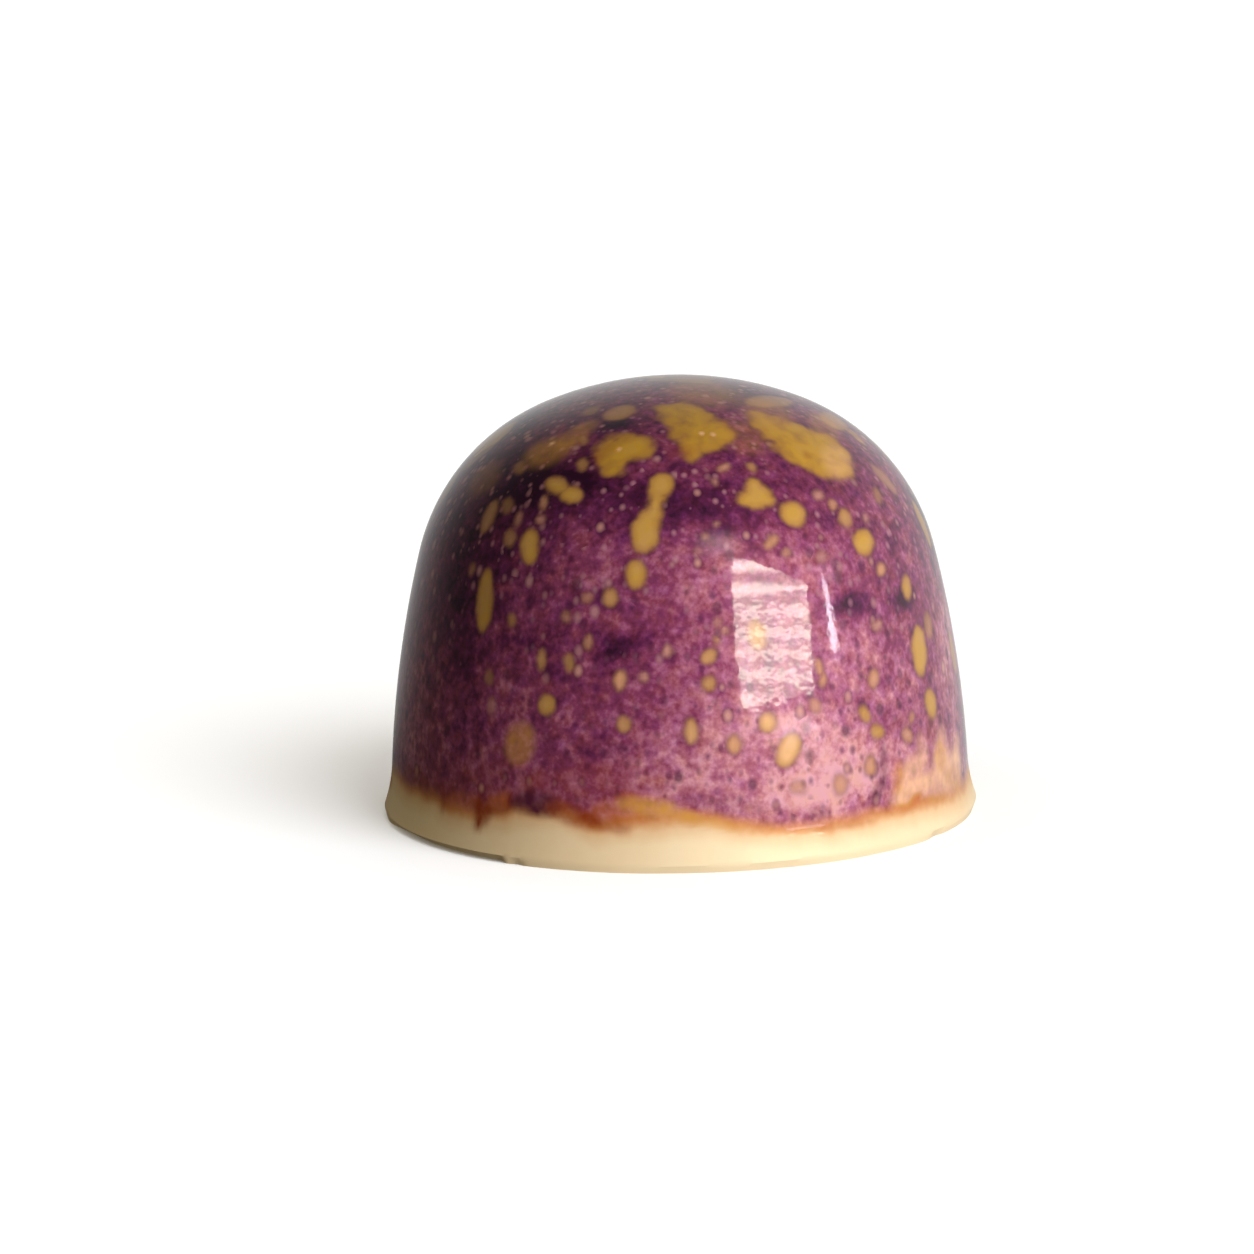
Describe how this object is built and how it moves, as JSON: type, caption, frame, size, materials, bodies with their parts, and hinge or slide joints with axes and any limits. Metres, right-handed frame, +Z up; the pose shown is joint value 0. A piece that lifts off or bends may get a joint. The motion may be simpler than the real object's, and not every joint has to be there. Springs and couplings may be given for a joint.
{
  "type": "chocolate bonbon",
  "caption": "Moulded white chocolate bonbon: tall glossy dome on a small flared foot, with a plum cocoa butter coat spattered in mustard drops.",
  "frame": {"origin": "centre of the flat underside, which rests on the table", "axes": "+Z up through the middle of the dome, which is round about it; -Y is the side that the picture shows"},
  "size_m": [0.03, 0.03, 0.0219],
  "materials": {
    "coloured_cocoa_butter": "high gloss",
    "white_chocolate": "semi gloss"
  },
  "bodies": {
    "root": {"bonbon": "coloured_cocoa_butter"}
  },
  "joints": []
}
